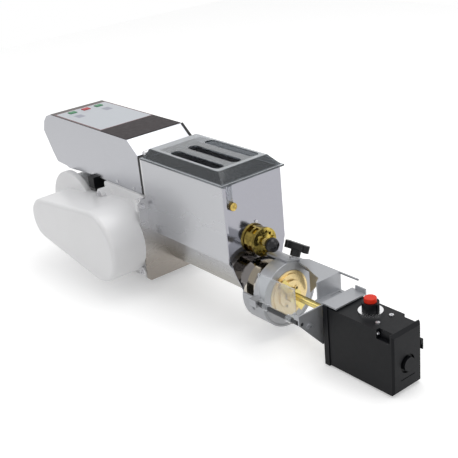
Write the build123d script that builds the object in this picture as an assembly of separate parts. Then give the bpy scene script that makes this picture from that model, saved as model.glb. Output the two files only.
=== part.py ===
from build123d import *
import math
import os

os.makedirs("parts", exist_ok=True)

# Table-top pasta machine. X runs along the screw towards the cutter, Y to the far side, Z up.
# Millimetres. X is counted from the bulkhead's front face here, and from the front foot in the files.

# Clearances and sheets
contact_gap = 0.3
running_gap = 0.05
bearing_gap = 0.02
sheet = 1.5

# Heights above the table
foot_height = 10.0
base_thickness = 16.0
screw_height = 75.0

# Base plate, its feet and the saddle under the motor
base_rear_x = -335.0
base_front_x = -35.0
base_near_y = -55.0
base_far_y = 60.0
base_corner = 14.0
foot_x = (-66.0, -310.0)
foot_near_y = (-42.0, -52.0)
foot_far_y = 58.0
foot_half_width = 13.0
foot_screw_inset = 12.0
foot_screw_radius = 3.0
foot_screw_head_radius = 5.5
foot_screw_head_height = 4.0
foot_screw_bottom = 4.0
saddle_half_length = 42.0
saddle_near_y = -40.0
saddle_far_y = 50.0
saddle_drop = 30.0

# Gear train behind the bulkhead: screw gear, idler and paddle gear
gear_module = 1.75
end_gear_teeth = 28
idler_teeth = 16
gear_width = 12.0
tooth_backlash = 0.5
idler_pin_radius = 6.0
idler_pin_shoulder = 4.0
gear_start_x = -30.0
train_shaft_radius = 8.0
seal_radius = 17.0

# Worm drive of the screw
worm_module = 2.0
worm_wheel_teeth = 20
worm_pitch_radius = 10.0
worm_wheel_width = 10.0
worm_wheel_backlash = 1.0
worm_turns = 6
worm_x = -64.0
worm_shaft_radius = 7.0

# Bearings
shaft_bearing_width = 8.0
train_bearing_radius = 13.0
worm_bearing_radius = 14.0
shield_bearing_radius = 17.0
fan_bearing_radius = 15.0

# Belt drive under the side cover
motor_x = -257.0
motor_height = 108.0
belt_y = -114.0
belt_width = 16.0
belt_thickness = 5.0
motor_pulley_radius = 24.0
worm_pulley_radius = 50.0
pulley_flange = 3.0
pulley_rim = 4.0
shaft_stand = 8.0

# Motor
motor_shield_radius = 78.0
motor_body_radius = 66.0
motor_near_y = -78.0
shield_thickness = 12.0
motor_body_length = 134.0
motor_wall = 5.0
motor_shaft_radius = 9.5
rotor_radius = 33.0
stator_radius = 58.0
stator_length = 100.0
cowl_length = 30.0
cowl_overlap = 12.0
fan_blades = 8
fan_radius = 52.0
fan_width = 14.0
grille_rings = ((14.0, 6), (28.0, 12), (42.0, 18))
grille_hole_radius = 3.2

# Terminal box between the motor and the control box
terminal_start = 67.0
terminal_end = 88.0
terminal_near_y = -72.0
terminal_inner_y = -60.0
terminal_neck_height = 62.0
terminal_foot_height = 42.0
terminal_foot_start = 51.0

# Gearbox housing
gearbox_rear_x = -140.0
gearbox_near_y = -66.0
gearbox_far_y = 60.0
gearbox_wall = 8.0
gearbox_ear_reach = 81.0
gearbox_ear_low = 166.0
gearbox_ear_length = 10.0

# Side cover and the plate behind it
cover_face_y = -152.0
cover_back_y = -78.0
cover_rear_radius = 42.0
cover_front_radius = 69.0
cover_draft = 1.0
cover_edge_radius = 8.0
cover_wall = 4.0
backplate_thickness = 12.0
lug_radius = 9.0
lug_stand = 6.0
lug_places = ((-13.0, 45.0), (-131.0, 173.5))
lug_screw_radius = 2.5
lug_screw_length = 23.0

# Bulkhead
bulkhead_thickness = 4.0
bulkhead_half_width = 82.0
bulkhead_low_top = 190.0
bulkhead_bottom = 29.0
bulkhead_corner = 6.0
bulkhead_bolt_places = ((52.0, 78.0), (-75.0, 177.0), (75.0, 177.0))
bolt_radius = 2.5
bolt_head_radius = 4.5
bolt_head_height = 3.5

# Trough
trough_near = 64.0
trough_far = 58.0
trough_length = 228.0
trough_rim = 264.0
trough_fold = 128.0
channel_radius = 26.0

# Front plate
front_thickness = 2.5
front_fold = 140.0
front_shoulder = 106.0
front_shoulder_inset = 10.0
front_waist = 41.0
front_waist_height = 73.0
front_foot_half_width = 36.0
front_bottom = 37.0
near_flange = 5.0
near_flange_low = 185.0
plate_screw_place = (-3.0, 186.5)
plate_screw_radius = 1.5
plate_screw_head_radius = 2.4
plate_screw_head_height = 2.0

# Screw, paddles and their bearings
screw_radius = 24.0
screw_core_radius = 11.0
screw_pitch = 36.0
screw_bore_gap = 0.5
screw_nose_length = 8.0
screw_reach = 31.5
flight_thickness = 4.0
flight_start_x = 3.0
flight_end_gap = 7.0
paddle_shaft_radius = 9.0
paddle_reach = 49.0
paddle_rod_radius = 5.0
paddle_count = 6
first_paddle_x = 26.0
last_paddle_gap = 27.0
journal_reach = 9.5

# Brass front bearing, release plunger and ball knob
bearing_radius = 23.5
bearing_length = 16.0
bearing_flange_radius = 25.0
bearing_flange = 5.0
bearing_spigot_radius = 14.0
window_angles = (115.0, 200.0)
window_width = 13.0
window_depth = 5.0
star_points = 12
star_depth = 3.0
star_radius = 21.0
star_tooth = 5.0
plunger_radius = 4.0
plunger_reach = 10.5
neck_radius = 7.0
ball_radius = 12.5
ball_reach = 33.5
ball_seat = 2.0

# Barrel and head
barrel_outer_radius = 33.0
barrel_flange_radius = 41.0
barrel_flange = 8.0
head_radius = 46.0
head_reach = 31.5
head_length = 19.0
head_mouth_radius = 34.0

# Ring nut and die
die_seal_thickness = 2.0
die_seal_inset = 4.0
nut_outer_radius = 54.0
nut_reach = 40.5
nut_length = 27.0
nut_edge = 0.8
nut_slot_count = 4
nut_slot_length = 6.0
nut_slot_width = 8.0
nut_slot_depth = 3.0
die_radius = 39.6
die_rim_radius = 43.0
die_stand = 1.0
die_rim_thickness = 8.0
die_boss_radius = 24.0
die_boss_height = 7.0
die_step_height = 2.0
die_step_width = 5.0
die_lip_gap = 0.4
die_insert_places = ((10.4, 8.7), (-12.2, -16.1))
die_insert_radius = 4.2
die_insert_height = 1.2
die_hole_radius = 2.4

# Lid
lid_near = 68.0
lid_far = 64.5
lid_height = 19.0
lid_wall = 3.0
lid_flange = 3.0
lid_rear_x = 4.0
lid_front_overhang = 3.5
lid_skirt_inset = 3.5
crown_rear_inset = 13.0
crown_front_inset = 25.0
crown_side_inset = 14.5
vent_count = 3
vent_width = 20.0
vent_length = 132.0
vent_pitch = 37.0
vent_front_gap = 10.0
strap_width = 9.0
strap_y = -53.0
strap_drop = 40.0
strap_eye_height = 6.0
hinge_pin_radius = 2.5
hinge_height = 6.5
hinge_x = -1.5
knuckle_radius = 5.0
knuckle_length = 10.0
hinge_knuckles = (-50.0, 0.0, 50.0)
lid_knuckles = (-38.0, -12.0, 12.0, 38.0)
lid_knuckle_length = 12.0
thumb_knob_radius = 7.0
thumb_knob_length = 6.0
thumb_screw_radius = 2.4
knurl_count = 12
knurl_radius = 1.2

# Control box
box_half_width = 62.0
box_top = 290.0
box_floor_z = 192.0
box_front_x = -13.0
box_slope_x = -42.0
box_slope_drop = 24.0
box_rear_top_x = -327.0
box_tip_x = -365.0
box_tip_drop = 39.0
box_rear_low_x = -326.0
box_dip_x = -278.0
box_dip = 6.0
box_dip_end_x = -193.0
floor_rear_x = -322.0
floor_front_x = -30.0
floor_front_edge_x = -28.0
gasket_wall = 4.0
gasket_proud = 0.8
gasket_break = 12.0
gasket_break_width = 3.0
box_screw_places = ((-95.7, 7.8), (-40.0, 6.0))
box_screw_radius = 1.5
box_screw_head_radius = 2.8
box_screw_head_height = 1.2

# Keypad, strip and buttons
overlay_thickness = 0.8
overlay_half_width = 61.0
keypad_front_x = -135.0
strip_front_x = -46.0
overlay_rear_x = -325.0
button_x = -293.0
button_length = 13.0
button_width = 15.0
button_rise = 1.6
button_gap = 0.3
button_collar = 2.0
button_places = (-28.0, 3.0, 33.0)

# Circuit board and mains inlet
board_drop = 11.0
board_thickness = 1.6
board_rear_x = -322.0
board_front_x = -130.0
board_half_width = 50.0
board_post_inset = 6.0
board_post_radius = 3.0
switch_height = 3.0
switch_size = 12.0
capacitor_places = (-240.0, -215.0, -190.0)
capacitor_radius = 9.0
capacitor_height = 25.0
inlet_x = -276.0
inlet_rise = 38.0
inlet_length = 42.0
inlet_height = 24.0
inlet_depth = 20.0
inlet_lip = 3.0
inlet_pins = (-8.0, 0.0, 8.0)

# Short-pasta cutter
cutter_reach = 113.0
cutter_length = 136.0
cutter_half_width = 31.0
cutter_bottom = 4.0
cutter_top = 104.0
cutter_wall = 3.0
lip_length = 9.0
lip_height = 1.5
end_cap_length = 6.0
end_cap_bevel = 3.0
end_cap_top_bevel = 5.0
notch_length = 31.0
notch_depth = 14.0
notch_width = 7.0
knob_reach = 63.3
knob_y = 3.5
knob_radius = 13.3
knob_height = 21.0
knob_cap_height = 7.0
knob_cap_radius = 9.7
dial_radius = 19.0
dial_thickness = 3.0
spindle_radius = 3.0
pot_radius = 8.0
pot_height = 7.0
plug_radius = 15.0
plug_disc_radius = 11.0
plug_groove = 3.0
plug_rise = 4.0
plug_height = 47.0
latch_height = 64.0
stud_setback = 41.6
stud_y = (14.2, -15.8)
small_screw_radius = 1.5

# Knife and its gear motor
knife_shaft_radius = 6.0
knife_reach = 37.0
knife_bearing_radius = 11.0
knife_hub_radius = 12.0
knife_hub_length = 8.0
knife_thickness = 1.2
knife_width = 14.0
knife_count = 2
knife_gap = 0.3
knife_angle = 35.0
gearmotor_radius = 18.0
gearmotor_gap = 9.0
gearmotor_setback = 42.0
gearmotor_bore = 25.0

# Clamp and arm that hold the cutter
bracket_sheet = 2.5
clamp_length = 49.5
clamp_outer_radius = 58.0
clamp_arc_start = 172.0
clamp_arc_end = 450.0
clamp_screw_angle = 195.0
arm_height = 125.0
arm_near_y = 20.0
arm_far_y = 40.3
arm_joint_length = 12.0
arm_joint_low = 28.0
arm_joint_high = 44.0
arm_start = 10.0
arm_drop = 11.0
web_reach = 77.5
web_near_y = -11.0
finger_reach = 42.0
shelf_height = 94.0
shelf_near_y = -16.0
shelf_far_y = 36.0
shelf_gap = 2.3
hook_reach = 25.0
hook_near_y = -30.0
hook_far_y = 36.0
hook_tab_height = 10.0

# T-knob of the clamp
clamp_knob_angle = 22.0
clamp_knob_setback = 6.0
clamp_bar_length = 47.0
clamp_bar_width = 11.0
clamp_bar_height = 11.0
clamp_bar_turn = 11.0
clamp_stem_radius = 8.6
clamp_stem_gap = 4.0
clamp_stem_length = 10.5
stud_radius = 3.0

# Guard and its rail
rail_y = -66.0
rail_height = 82.5
rail_radius = 4.7
rail_pin_radius = 3.0
rail_start = 7.0
rail_end_gap = 5.5
rail_boss = 6.0
ear_setback = 15.0
ear_near_y = -72.0
ear_far_y = -12.0
ear_top = 98.0
ear_corner_height = 82.0
ear_bottom = 30.0
ear_bottom_y = -25.0
ear_flange = 9.0
ear_flange_height = 8.0
ear_screw_place = (-51.5, 73.6)
ear_screw_radius = 5.0
ear_screw_height = 2.5
guard_start = 6.0
guard_end_gap = 10.0
guard_height = 56.0
guard_thickness = 3.0
sleeve_radius = 6.2
sleeve_length = 12.0

# Lengths that follow from the driving sizes
end_gear_radius = gear_module * end_gear_teeth / 2
idler_radius = gear_module * idler_teeth / 2
idler_height = screw_height + end_gear_radius + idler_radius
paddle_height = idler_height + end_gear_radius + idler_radius
worm_wheel_radius = worm_module * worm_wheel_teeth / 2
worm_height = screw_height + worm_wheel_radius + worm_pitch_radius
worm_pitch = math.pi * worm_module
base_top = foot_height + base_thickness
gear_end_x = gear_start_x + gear_width
gearbox_front_x = -bulkhead_thickness
gearbox_top = box_floor_z
body_start_y = motor_near_y + shield_thickness
body_end_y = body_start_y + motor_body_length
belt_end_y = belt_y - belt_width / 2 - shaft_stand
cover_growth = (cover_back_y - cover_face_y) * math.tan(math.radians(cover_draft))
front_x = trough_length + front_thickness
screw_nose_x = front_x + screw_reach
journal_end_x = front_x + journal_reach
ball_x = front_x + ball_reach
head_start_x = front_x + head_reach
head_end_x = head_start_x + head_length
die_back_x = head_end_x + die_seal_thickness
nut_start_x = front_x + nut_reach
nut_front_x = nut_start_x + nut_length
die_face_x = nut_front_x + die_stand
lid_low_z = trough_rim + contact_gap
lid_top_z = lid_low_z + lid_height
lid_front_x = front_x + lid_front_overhang
strap_bottom = trough_rim - strap_drop
hinge_z = trough_rim + hinge_height
box_slope_z = box_top - box_slope_drop
board_z = box_top - board_drop
clamp_inner_radius = nut_outer_radius + contact_gap
clamp_rear_x = nut_front_x - clamp_length
clamp_knob_x = nut_front_x - clamp_knob_setback
clamp_stem_start = clamp_outer_radius + clamp_stem_gap
clamp_stem_end = clamp_stem_start + clamp_stem_length
web_x = nut_front_x + web_reach
cutter_rear_x = nut_front_x + cutter_reach
cutter_front_x = cutter_rear_x + cutter_length
cap_start_x = cutter_front_x - end_cap_length
notch_start_x = cutter_front_x - notch_length
knob_x = cutter_rear_x + knob_reach
knob_base_z = cutter_top + dial_thickness + contact_gap
stud_x = cutter_front_x - stud_setback
gearmotor_start_x = cutter_rear_x + gearmotor_gap
gearmotor_end_x = cutter_front_x - gearmotor_setback
knife_start_x = die_face_x + die_boss_height + knife_gap
shelf_end_x = cutter_rear_x - shelf_gap
hook_front_x = cutter_rear_x + hook_reach
hook_z = cutter_top + lip_height + contact_gap
ear_x = cutter_rear_x - ear_setback
ear_front_x = ear_x + bracket_sheet
guard_start_x = nut_front_x + guard_start
guard_end_x = ear_x - guard_end_gap


def block(x0, x1, y0, y1, z0, z1):
    """A rectangular block between two corners."""
    corner = (Align.MIN, Align.MIN, Align.MIN)
    return Pos(x0, y0, z0) * Box(x1 - x0, y1 - y0, z1 - z0, align=corner)


def rod_x(x0, x1, y, z, radius):
    """A round bar along X."""
    base = (Align.CENTER, Align.CENTER, Align.MIN)
    return Pos(x0, y, z) * Rot(Y=90) * Cylinder(radius, x1 - x0, align=base)


def rod_y(y0, y1, x, z, radius):
    """A round bar along Y."""
    base = (Align.CENTER, Align.CENTER, Align.MIN)
    return Pos(x, y0, z) * Rot(X=-90) * Cylinder(radius, y1 - y0, align=base)


def rod_z(z0, z1, x, y, radius):
    """A round bar along Z."""
    base = (Align.CENTER, Align.CENTER, Align.MIN)
    return Pos(x, y, z0) * Cylinder(radius, z1 - z0, align=base)


def cone_x(x0, x1, z, radius, end_radius):
    """A cone along X on the centre plane."""
    base = (Align.CENTER, Align.CENTER, Align.MIN)
    return Pos(x0, 0, z) * Rot(Y=90) * Cone(radius, end_radius, x1 - x0, align=base)


def ring_x(x0, x1, y, z, outer, inner):
    """A tube along X."""
    return rod_x(x0, x1, y, z, outer) - rod_x(x0 - 1, x1 + 1, y, z, inner)


def ring_y(y0, y1, x, z, outer, inner):
    """A tube along Y."""
    return rod_y(y0, y1, x, z, outer) - rod_y(y0 - 1, y1 + 1, x, z, inner)


def plate_x(face, x0, x1):
    """A flat (Y, Z) outline given thickness along X."""
    return Pos(x0, 0, 0) * extrude(Plane.YZ * face, x1 - x0)


def plate_y(face, y0, y1):
    """A flat (X, Z) outline given thickness along Y."""
    return Pos(0, y1, 0) * extrude(Plane.XZ * face, y1 - y0)


def outline(*points):
    """A closed outline with straight sides."""
    return make_face(Polyline(*points, close=True))


def circle_points(count, first=0.0):
    """Directions around a circle, evenly spaced, as (cosine, sine) pairs."""
    angles = [math.radians(first) + 2 * math.pi * i / count for i in range(count)]
    return [(math.cos(angle), math.sin(angle)) for angle in angles]


def export(name, *solids):
    """Write one node, with X counted from the front foot; several solids stay separate in it."""
    moved = [Pos(-foot_x[0], 0, 0) * solid for solid in solids]
    shape = moved[0] if len(moved) == 1 else Compound(children=moved)
    shape.label = name
    export_step(shape, "parts/" + name + ".step")


def taper_outline(rear, front, rear_radius, front_radius):
    """Two circles and their outer tangents, as a flat outline."""
    dx = front[0] - rear[0]
    dz = front[1] - rear[1]
    distance = math.hypot(dx, dz)
    tilt = math.atan2(dz, dx)
    lean = math.acos((rear_radius - front_radius) / distance)
    sides = []
    for sign in (1, -1):
        angle = tilt + sign * lean
        normal = (math.cos(angle), math.sin(angle))
        sides.append([(p[0] + r * normal[0], p[1] + r * normal[1])
                      for p, r in ((rear, rear_radius), (front, front_radius))])
    top, low = sides
    rear_tip = (rear[0] - rear_radius * math.cos(tilt), rear[1] - rear_radius * math.sin(tilt))
    front_tip = (front[0] + front_radius * math.cos(tilt), front[1] + front_radius * math.sin(tilt))
    edges = [Line(top[0], top[1]),
             ThreePointArc(top[1], front_tip, low[1]),
             Line(low[1], low[0]),
             ThreePointArc(low[0], rear_tip, top[0])]
    return make_face(edges)


def channel_side(half_width, fold, radius):
    """Where a sloping trough wall meets the arc about the screw's axis."""
    distance = math.hypot(half_width, fold - screw_height)
    to_fold = math.atan2(fold - screw_height, half_width)
    touch = to_fold - math.acos(radius / distance)
    return radius * math.cos(touch), screw_height + radius * math.sin(touch)


def channel_outline(near, far, rim, fold, radius):
    """An open-topped V trough whose bottom is an arc about the screw's axis."""
    near_y, near_z = channel_side(near, fold, radius)
    far_y, far_z = channel_side(far, fold, radius)
    edges = [Line((-near, rim), (-near, fold)),
             Line((-near, fold), (-near_y, near_z)),
             ThreePointArc((-near_y, near_z), (0, screw_height - radius), (far_y, far_z)),
             Line((far_y, far_z), (far, fold)),
             Line((far, fold), (far, rim)),
             Line((far, rim), (-near, rim))]
    return make_face(edges)


def spur_gear(module, teeth, width, bore, first_tooth, backlash):
    """A straight-toothed gear about the X axis from x = 0, first tooth at an angle from +Y."""
    addendum = 0.9 * module
    dedendum = 1.2 * module
    pitch_radius = module * teeth / 2
    half_pitch_tooth = (math.pi * module / 2 - backlash) / 2
    flank = math.tan(math.radians(20))
    half_tip = half_pitch_tooth - addendum * flank
    half_root = half_pitch_tooth + dedendum * flank
    tip_radius = pitch_radius + addendum
    root_radius = pitch_radius - dedendum
    points = []
    for tooth in range(teeth):
        centre = math.radians(first_tooth) + 2 * math.pi * tooth / teeth
        for radius, half in ((root_radius, -half_root), (tip_radius, -half_tip),
                             (tip_radius, half_tip), (root_radius, half_root)):
            angle = centre + half / radius
            points.append((radius * math.cos(angle), radius * math.sin(angle)))
    blank = plate_x(outline(*points), 0, width)
    return blank - rod_x(-1, width + 1, 0, 0, bore)


def screw_thread(pitch, length, inner, outer, root_width, tip_width):
    """A right-handed thread ridge about the Z axis, from z = 0, starting on +X."""
    path = Helix(pitch, length, inner)
    ridge = Polyline((inner - 0.5, 0, -root_width / 2), (outer, 0, -tip_width / 2),
                     (outer, 0, tip_width / 2), (inner - 0.5, 0, root_width / 2), close=True)
    return sweep(make_face(ridge), path=path, is_frenet=True)


def socket_screw(length, radius, head_radius, head_height):
    """A screw along +Z whose head sits on z = 0 and whose shank points down."""
    head = Cylinder(head_radius, head_height, align=(Align.CENTER, Align.CENTER, Align.MIN))
    shank = Cylinder(radius, length, align=(Align.CENTER, Align.CENTER, Align.MAX))
    socket = Pos(0, 0, head_height) * extrude(RegularPolygon(head_radius * 0.5, 6), -head_height * 0.6)
    return head + shank - socket


# Base and feet
def foot_screw_places():
    """Two screws near the ends of each foot bar."""
    return [(x, y) for x, near in zip(foot_x, foot_near_y)
            for y in (near + foot_screw_inset, foot_far_y - foot_screw_inset)]


def base_plate():
    """Heavy cast plate with a saddle for the motor."""
    plate = block(base_rear_x, base_front_x, base_near_y, base_far_y, foot_height, base_top)
    plate = fillet(plate.edges().filter_by(Axis.Z), base_corner)
    for x, near in zip(foot_x, foot_near_y):
        plate += block(x - foot_half_width, x + foot_half_width, near + foot_half_width,
                       foot_far_y - foot_half_width, foot_height, base_top)
    plate += block(motor_x - saddle_half_length, motor_x + saddle_half_length, saddle_near_y, saddle_far_y,
                   base_top, motor_height - saddle_drop)
    plate -= rod_y(base_near_y - 1, base_far_y + 1, motor_x, motor_height, motor_body_radius)
    for x, y in foot_screw_places():
        plate -= rod_z(foot_height - 1, base_top + 1, x, y, foot_screw_radius)
        plate -= rod_z(base_top - foot_screw_head_height, motor_height, x, y, foot_screw_head_radius + contact_gap)
    return plate


def rubber_feet():
    """Two rubber bars across the base, plain below, with blind screw holes from above."""
    feet = []
    for x, near in zip(foot_x, foot_near_y):
        bar = block(x - foot_half_width, x + foot_half_width, near, foot_far_y, 0, foot_height)
        bar = fillet(bar.edges().filter_by(Axis.Z), foot_half_width - 1)
        for y in (near + foot_screw_inset, foot_far_y - foot_screw_inset):
            bar -= rod_z(foot_screw_bottom, foot_height + 1, x, y, foot_screw_radius)
        feet.append(bar)
    return feet


def foot_screws():
    """Screws that hold the foot bars, with their heads sunk in the base."""
    screws = []
    for x, y in foot_screw_places():
        head = rod_z(base_top - foot_screw_head_height, base_top, x, y, foot_screw_head_radius)
        shank = rod_z(foot_screw_bottom, base_top - foot_screw_head_height, x, y,
                      foot_screw_radius - running_gap)
        screws.append(head + shank)
    return screws


# Gearbox: housing, end plates and shafts
def gearbox_housing():
    """White cast box behind the bulkhead, open at the front, with bearing bores."""
    outer = block(gearbox_rear_x, gearbox_front_x, gearbox_near_y, gearbox_far_y, base_top, gearbox_top)
    outer = fillet(outer.edges().filter_by(Axis.Y), 6)
    inner = block(gearbox_rear_x + gearbox_wall, gearbox_front_x + 1, gearbox_near_y + gearbox_wall,
                  gearbox_far_y - gearbox_wall, base_top + gearbox_wall, gearbox_top - gearbox_wall)
    housing = outer - inner
    ear_x0 = gearbox_front_x - gearbox_ear_length
    housing += block(ear_x0, gearbox_front_x, -gearbox_ear_reach, gearbox_near_y + 1, gearbox_ear_low,
                     bulkhead_low_top - 1)
    housing += block(ear_x0, gearbox_front_x, gearbox_far_y - 1, gearbox_ear_reach, gearbox_ear_low,
                     bulkhead_low_top - 1)
    for height in (screw_height, paddle_height):
        housing -= rod_x(gearbox_rear_x - 1, gearbox_rear_x + gearbox_wall + 1, 0, height, train_bearing_radius)
    for y in (gearbox_near_y, gearbox_far_y - gearbox_wall):
        housing -= rod_y(y - 1, y + gearbox_wall + 1, worm_x, worm_height, worm_bearing_radius)
    for x, z in lug_places:
        housing -= rod_y(gearbox_near_y - 1, gearbox_near_y + gearbox_wall - 2, x, z, lug_screw_radius)
    for y, z in bulkhead_bolt_places:
        housing -= rod_x(gearbox_front_x - gearbox_wall, gearbox_front_x + 1, y, z, bolt_radius)
    return housing


def bulkhead_outline():
    """Plate between gearbox and trough, wide below and as wide as the box above."""
    w = bulkhead_half_width
    s = box_half_width + 2
    low = bulkhead_bottom
    top = bulkhead_low_top
    c = bulkhead_corner
    return outline((-w, low + c), (-w + c, low), (w - c, low), (w, low + c), (w, top - c), (w - c, top),
                   (s, top), (s, trough_rim), (-s, trough_rim), (-s, top), (-w + c, top), (-w, top - c))


def bulkhead():
    """Stainless plate that closes the gearbox and carries the trough."""
    plate = plate_x(bulkhead_outline(), -bulkhead_thickness, 0)
    for height in (screw_height, paddle_height):
        plate -= rod_x(-bulkhead_thickness - 1, 1, 0, height, seal_radius)
    for y, z in bulkhead_bolt_places:
        plate -= rod_x(-bulkhead_thickness - 1, 1, y, z, bolt_radius)
    plate += rod_x(gear_start_x - 5, gearbox_front_x, 0, idler_height, idler_pin_radius)
    plate += rod_x(gear_end_x + contact_gap, gearbox_front_x, 0, idler_height,
                   idler_pin_radius + idler_pin_shoulder)
    for y in hinge_knuckles:
        y0 = y - knuckle_length / 2
        y1 = y + knuckle_length / 2
        plate += ring_y(y0, y1, hinge_x, hinge_z, knuckle_radius, hinge_pin_radius)
        plate += block(-bulkhead_thickness, 0, y0, y1, trough_rim - 1, hinge_z - hinge_pin_radius)
    return plate


def shaft_bearings():
    """Bearings of the screw, paddle, worm and motor shafts, each drawn as one ring."""
    rings = []
    for height in (screw_height, paddle_height):
        rings.append(ring_x(gearbox_rear_x, gearbox_rear_x + shaft_bearing_width, 0, height,
                            train_bearing_radius - bearing_gap, train_shaft_radius + running_gap))
    for y in (gearbox_near_y, gearbox_far_y - gearbox_wall):
        rings.append(ring_y(y, y + gearbox_wall, worm_x, worm_height, worm_bearing_radius - bearing_gap,
                            worm_shaft_radius + running_gap))
    for y0, y1, outer in ((motor_near_y + 2, body_start_y, shield_bearing_radius),
                          (body_end_y - motor_wall, body_end_y, fan_bearing_radius)):
        rings.append(ring_y(y0, y1, motor_x, motor_height, outer - bearing_gap,
                            motor_shaft_radius + running_gap))
    return rings


def seals():
    """Rubber seals of the two shafts in the bulkhead, and the flat seal behind the die."""
    rings = [ring_x(-bulkhead_thickness, 0, 0, height, seal_radius, train_shaft_radius + running_gap)
             for height in (screw_height, paddle_height)]
    rings.append(ring_x(head_end_x, die_back_x, 0, screw_height, head_radius - die_seal_inset,
                        head_mouth_radius))
    return rings


def worm_shaft():
    """Steel shaft with a single-start thread that turns the worm wheel."""
    tip = worm_pitch_radius + 0.8 * worm_module
    root = worm_pitch_radius - 1.2 * worm_module
    length = worm_turns * worm_pitch
    ridge = screw_thread(worm_pitch, length, root, tip, 0.5 * worm_pitch, 0.25 * worm_pitch)
    thread = Pos(worm_x, -length / 2 - worm_pitch / 4, worm_height) * Rot(X=-90) * ridge
    core = rod_y(-length / 2 - 6, length / 2 + 6, worm_x, worm_height, root)
    shaft = rod_y(belt_end_y, gearbox_far_y, worm_x, worm_height, worm_shaft_radius)
    return thread + core + shaft


def belt_pulley(x, z, radius, shaft_radius):
    """A grooved pulley for the flat belt."""
    half = belt_width / 2
    face = belt_y - half - pulley_flange
    back = belt_y + half + pulley_flange
    rim = rod_y(face, back, x, z, radius + pulley_rim)
    groove = ring_y(belt_y - half, belt_y + half, x, z, radius + pulley_rim + 2, radius)
    hub_recess = ring_y(face - 1, belt_y - half + 4, x, z, radius - 5, shaft_radius + 6)
    return rim - groove - hub_recess - rod_y(face - 1, back + 1, x, z, shaft_radius)


def drive_belt():
    """Flat toothed belt around both pulleys, a hair clear of their grooves."""
    rear = (motor_x, motor_height)
    front = (worm_x, worm_height)
    inside = taper_outline(rear, front, motor_pulley_radius + contact_gap, worm_pulley_radius + contact_gap)
    outside = taper_outline(rear, front, motor_pulley_radius + contact_gap + belt_thickness,
                            worm_pulley_radius + contact_gap + belt_thickness)
    half = belt_width / 2 - 0.5
    return plate_y(outside - inside, belt_y - half, belt_y + half)


# Motor
def motor_near_shield():
    """White end shield with a bearing bore."""
    shield = rod_y(motor_near_y, body_start_y, motor_x, motor_height, motor_shield_radius)
    shield = fillet(shield.edges().filter_by(GeomType.CIRCLE).sort_by(Axis.Y)[0], 3)
    shield -= rod_y(motor_near_y - 1, body_start_y + 1, motor_x, motor_height, shield_bearing_radius)
    return shield


def motor_housing():
    """Smooth round motor body along Y."""
    body = rod_y(body_start_y, body_end_y, motor_x, motor_height, motor_body_radius)
    body -= rod_y(body_start_y - 1, body_end_y - motor_wall, motor_x, motor_height, stator_radius)
    return body - rod_y(body_end_y - motor_wall - 1, body_end_y + 1, motor_x, motor_height, fan_bearing_radius)


def motor_stator():
    """Laminated stator ring pressed into the housing."""
    start = body_start_y + (motor_body_length - stator_length) / 2
    return ring_y(start, start + stator_length, motor_x, motor_height,
                  stator_radius - bearing_gap, rotor_radius + 2 * contact_gap)


def motor_rotor():
    """Shaft and laminations that turn inside the stator."""
    start = body_start_y + (motor_body_length - stator_length) / 2
    laminations = rod_y(start, start + stator_length, motor_x, motor_height, rotor_radius)
    shaft = rod_y(belt_end_y, body_end_y + cowl_length - 6, motor_x, motor_height, motor_shaft_radius)
    return laminations + shaft


def motor_fan():
    """Plastic fan on the shaft's far end."""
    start = body_end_y + 5
    fan = ring_y(start, start + fan_width, motor_x, motor_height, motor_shaft_radius + 6, motor_shaft_radius)
    blade = block(motor_shaft_radius + 4, fan_radius, start + 1, start + fan_width - 1, -1, 1)
    for i in range(fan_blades):
        fan += Pos(motor_x, 0, motor_height) * Rot(Y=360 * i / fan_blades) * blade
    return fan


def motor_cowl():
    """White steel cowl over the fan with a grille of round holes."""
    end = body_end_y + cowl_length
    cowl = rod_y(body_end_y - cowl_overlap, end, motor_x, motor_height, motor_body_radius + 2)
    cowl = fillet(cowl.edges().filter_by(GeomType.CIRCLE).sort_by(Axis.Y)[-1], 8)
    hollow = rod_y(body_end_y - cowl_overlap - 1, end - sheet, motor_x, motor_height, motor_body_radius)
    cowl -= fillet(hollow.edges().filter_by(GeomType.CIRCLE).sort_by(Axis.Y)[-1], 8 - sheet)
    for radius, count in grille_rings:
        for along, up in circle_points(count):
            cowl -= rod_y(end - 4, end + 1, motor_x + radius * along, motor_height + radius * up,
                          grille_hole_radius)
    return cowl


def terminal_box():
    """Black terminal box under the control box with a neck down to the motor."""
    start = motor_x + terminal_start
    end = motor_x + terminal_end
    neck_z = motor_height + terminal_neck_height
    foot_z = motor_height + terminal_foot_height
    body = block(start, end, terminal_near_y, 0, neck_z, box_floor_z)
    body += block(start, end, terminal_inner_y, 0, foot_z - 1, neck_z + 1)
    body += block(motor_x + terminal_foot_start, end, terminal_inner_y, 0, motor_height + 14, foot_z)
    return body - rod_y(terminal_inner_y - 1, 1, motor_x, motor_height, motor_body_radius)


# Belt cover and its backplate
def cover_outline(growth):
    """The cover's tapered outline, grown or shrunk evenly."""
    return taper_outline((motor_x, motor_height), (worm_x, worm_height),
                         cover_rear_radius + growth, cover_front_radius + growth)


def drafted_cover(shrink, face_y):
    """Solid of the cover's form, from its back to a face plane."""
    back = Pos(0, cover_back_y, 0) * (Plane.XZ * cover_outline(cover_growth - shrink))
    return extrude(back, cover_back_y - face_y, taper=cover_draft)


def belt_cover():
    """Deep white moulded cover with a flat face and a rounded edge."""
    shell = drafted_cover(0, cover_face_y)
    shell = fillet(shell.faces().sort_by(Axis.Y)[0].edges(), cover_edge_radius)
    hollow = drafted_cover(cover_wall, cover_face_y + cover_wall)
    hollow = fillet(hollow.faces().sort_by(Axis.Y)[0].edges(), cover_edge_radius - cover_wall)
    relief = block(gearbox_front_x - contact_gap, cover_front_radius, -bulkhead_half_width - contact_gap,
                   cover_back_y + 1, base_top, gearbox_top + 10)
    return shell - hollow - relief


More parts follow.
